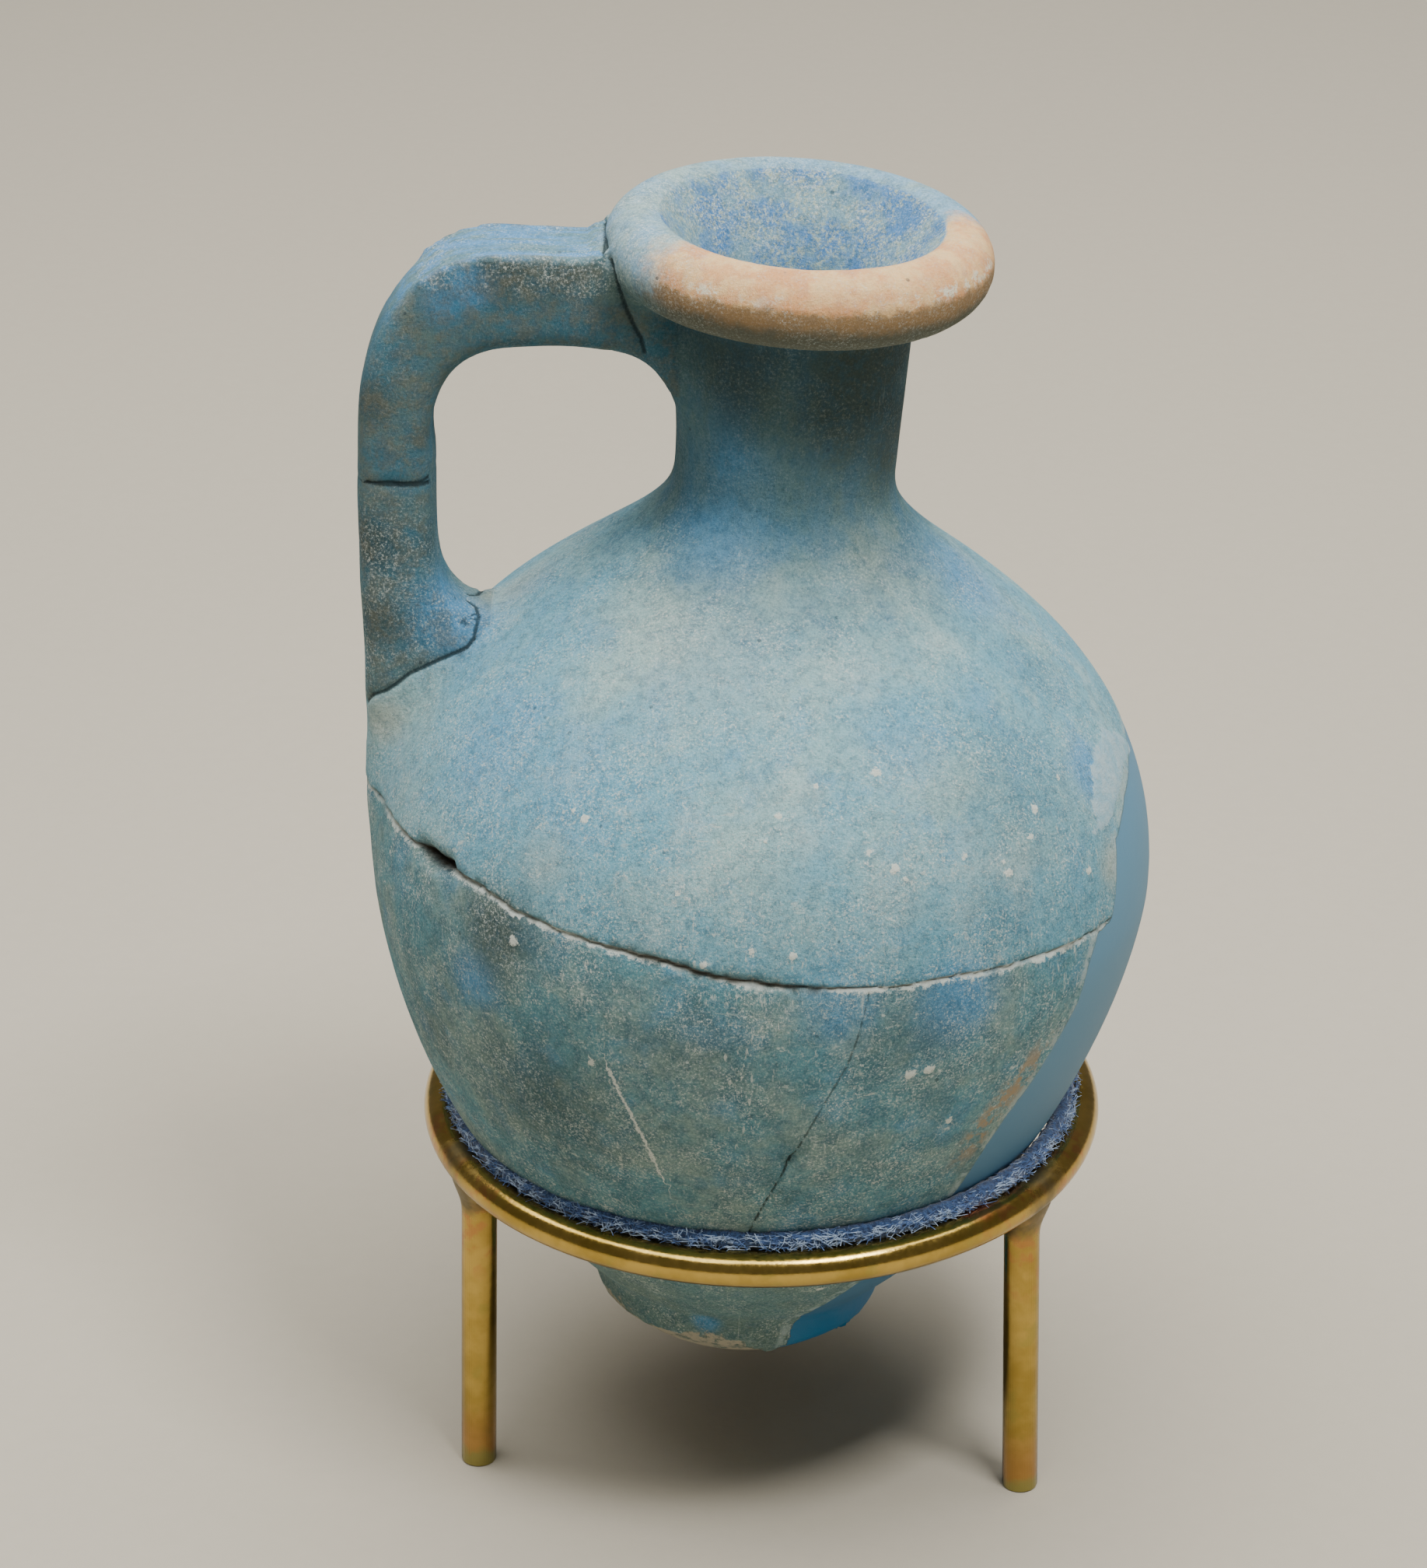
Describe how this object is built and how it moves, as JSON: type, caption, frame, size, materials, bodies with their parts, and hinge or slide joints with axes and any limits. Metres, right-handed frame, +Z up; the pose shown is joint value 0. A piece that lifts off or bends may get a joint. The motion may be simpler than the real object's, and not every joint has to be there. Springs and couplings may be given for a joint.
{
  "type": "handled jug",
  "caption": "Blue frit jug with a strap handle and rolled rim, mended from sherds, held upright in a felt-lined brass ring stand on rod legs.",
  "frame": {"origin": "on the table, under the middle of the whole object's bounding box", "axes": "+Z up, +X to the right as seen from the front, with the handle on the -X side, +Y away from the front"},
  "size_m": [0.1032, 0.103, 0.174],
  "materials": {
    "frit": "matt, chalky, weathered blue frit with cracks, fills and a worn tan rim",
    "brass": "polished rod with heat tints and dull brazed joints",
    "felt": "blue fuzzy felt"
  },
  "bodies": {
    "root": {"jug": "frit", "stand_ring": "brass", "stand_leg_left": "brass", "stand_leg_right": "brass", "stand_leg_back": "brass", "felt_lining": "felt"}
  },
  "joints": []
}
